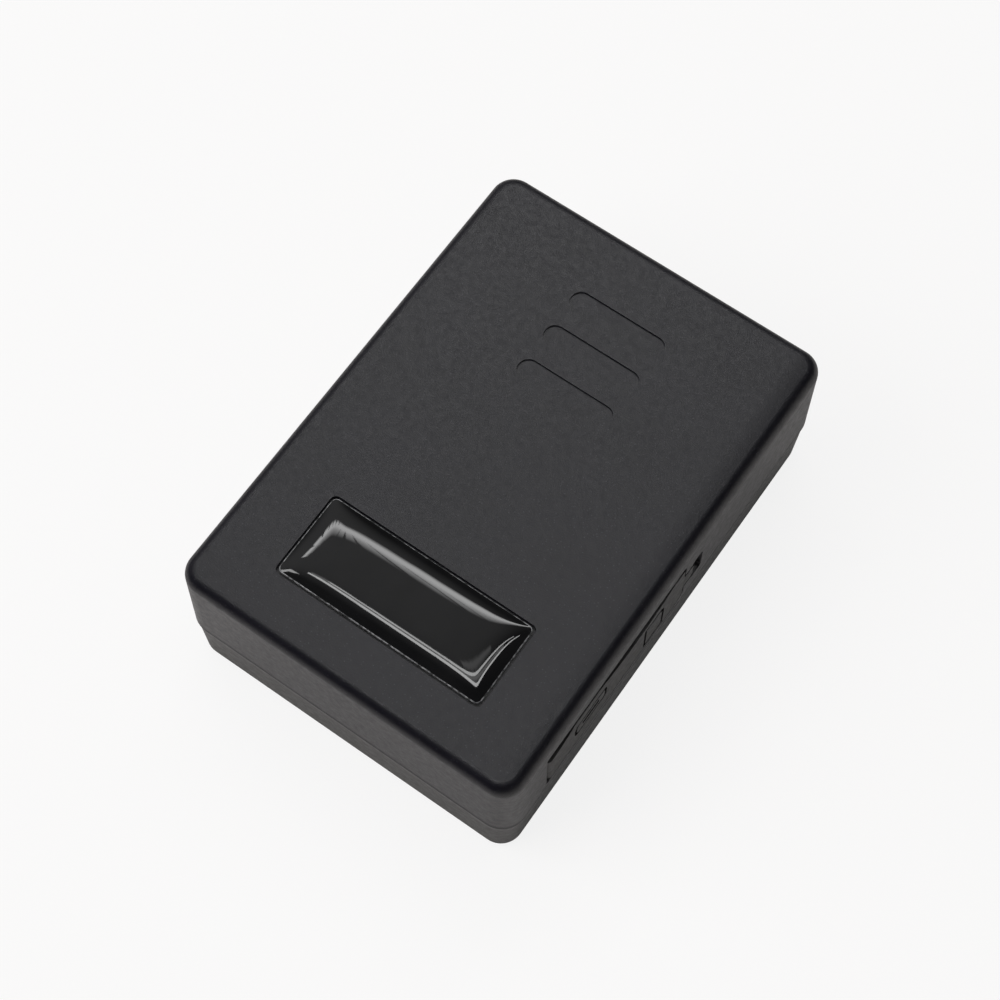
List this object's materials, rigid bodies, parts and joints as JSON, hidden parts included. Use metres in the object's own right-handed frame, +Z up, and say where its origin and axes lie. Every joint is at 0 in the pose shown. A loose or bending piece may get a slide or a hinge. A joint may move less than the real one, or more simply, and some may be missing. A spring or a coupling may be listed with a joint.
{
  "type": "gps tracker",
  "caption": "Flat rounded battery tracker case with a domed label on top, a rubber port cover on one side and magnets underneath.",
  "frame": {"origin": "middle of the footprint, on the underside", "axes": "+Z up out of the top face, -Y towards the label end, +X out of the wall with the port cover"},
  "size_m": [0.0644, 0.0914, 0.032],
  "materials": {
    "case_plastic": "fine matt moulded texture",
    "cover_rubber": "satin moulded rubber with engraved marks",
    "seal_rubber": "smooth soft rubber",
    "label_print": "black printed film",
    "label_resin": "clear poured resin with a glossy skin",
    "magnet_plating": "nickel plating",
    "screw_steel": "zinc-plated steel",
    "board_laminate": "green solder mask",
    "socket_steel": "stamped sheet steel",
    "shield_steel": "tinned sheet steel",
    "black_moulding": "black moulded plastic",
    "card_plastic": "white card plastic",
    "antenna_ceramic": "fired ceramic",
    "antenna_silver": "fired silver",
    "antenna_copper": "copper on polyimide film",
    "contact_gold": "gold plating",
    "cell_foil": "laminated pouch foil",
    "adhesive_sheet": "amber adhesive film",
    "foam": "closed-cell foam",
    "lead_red": "red insulation",
    "lead_black": "black insulation",
    "connector_white": "natural nylon",
    "led_lens": "milky lens",
    "capacitor_body": "fired ceramic with tinned ends"
  },
  "bodies": {
    "case": {"base_shell": "case_plastic", "top_shell": "case_plastic", "case_gasket": "seal_rubber", "case_screws": "screw_steel", "magnets": "magnet_plating", "label_film": "label_print", "label_dome": "label_resin", "port_cover_anchor": "cover_rubber", "main_board": "board_laminate", "board_screws": "screw_steel", "usb_socket": "socket_steel", "usb_tongue": "black_moulding", "power_switch_body": "shield_steel", "sim_socket": "socket_steel", "gps_patch": "antenna_ceramic", "patch_electrode": "antenna_silver", "gps_receiver": "shield_steel", "modem_board": "board_laminate", "modem_can": "shield_steel", "cell_antenna": "antenna_copper", "antenna_coax": "lead_black", "coax_plug": "contact_gold", "coax_socket": "contact_gold", "controller_chip": "black_moulding", "memory_chip": "black_moulding", "motion_sensor": "black_moulding", "power_inductor": "black_moulding", "small_capacitors": "capacitor_body", "status_leds": "led_lens", "battery_cell_lower": "cell_foil", "battery_cell_upper": "cell_foil", "cell_tape": "adhesive_sheet", "battery_pad": "foam", "board_foam": "foam", "protection_board": "board_laminate", "battery_header": "connector_white", "battery_plug": "connector_white", "battery_lead_red": "lead_red", "battery_lead_black": "lead_black"},
    "port_cover": {"port_cover": "cover_rubber"},
    "power_switch_knob": {"power_switch_knob": "black_moulding"},
    "sim_card": {"sim_card": "card_plastic"}
  },
  "joints": [
    {"name": "port_cover_hinge", "type": "hinge", "parent": "case", "child": "port_cover", "pos_m": [0.03141, -0.0345, 0.02018], "axis": [0.0242, 0, -0.9997], "range_deg": [0, 100], "stiffness_Nm_per_rad": 0.0004},
    {"name": "power_switch_slide", "type": "slide", "parent": "case", "child": "power_switch_knob", "axis": [0, 1, 0], "range_m": [0, 0.002]},
    {"name": "sim_card_push", "type": "slide", "parent": "case", "child": "sim_card", "axis": [-1, 0, 0], "range_m": [0, 0.0008], "stiffness_N_per_m": 20}
  ]
}
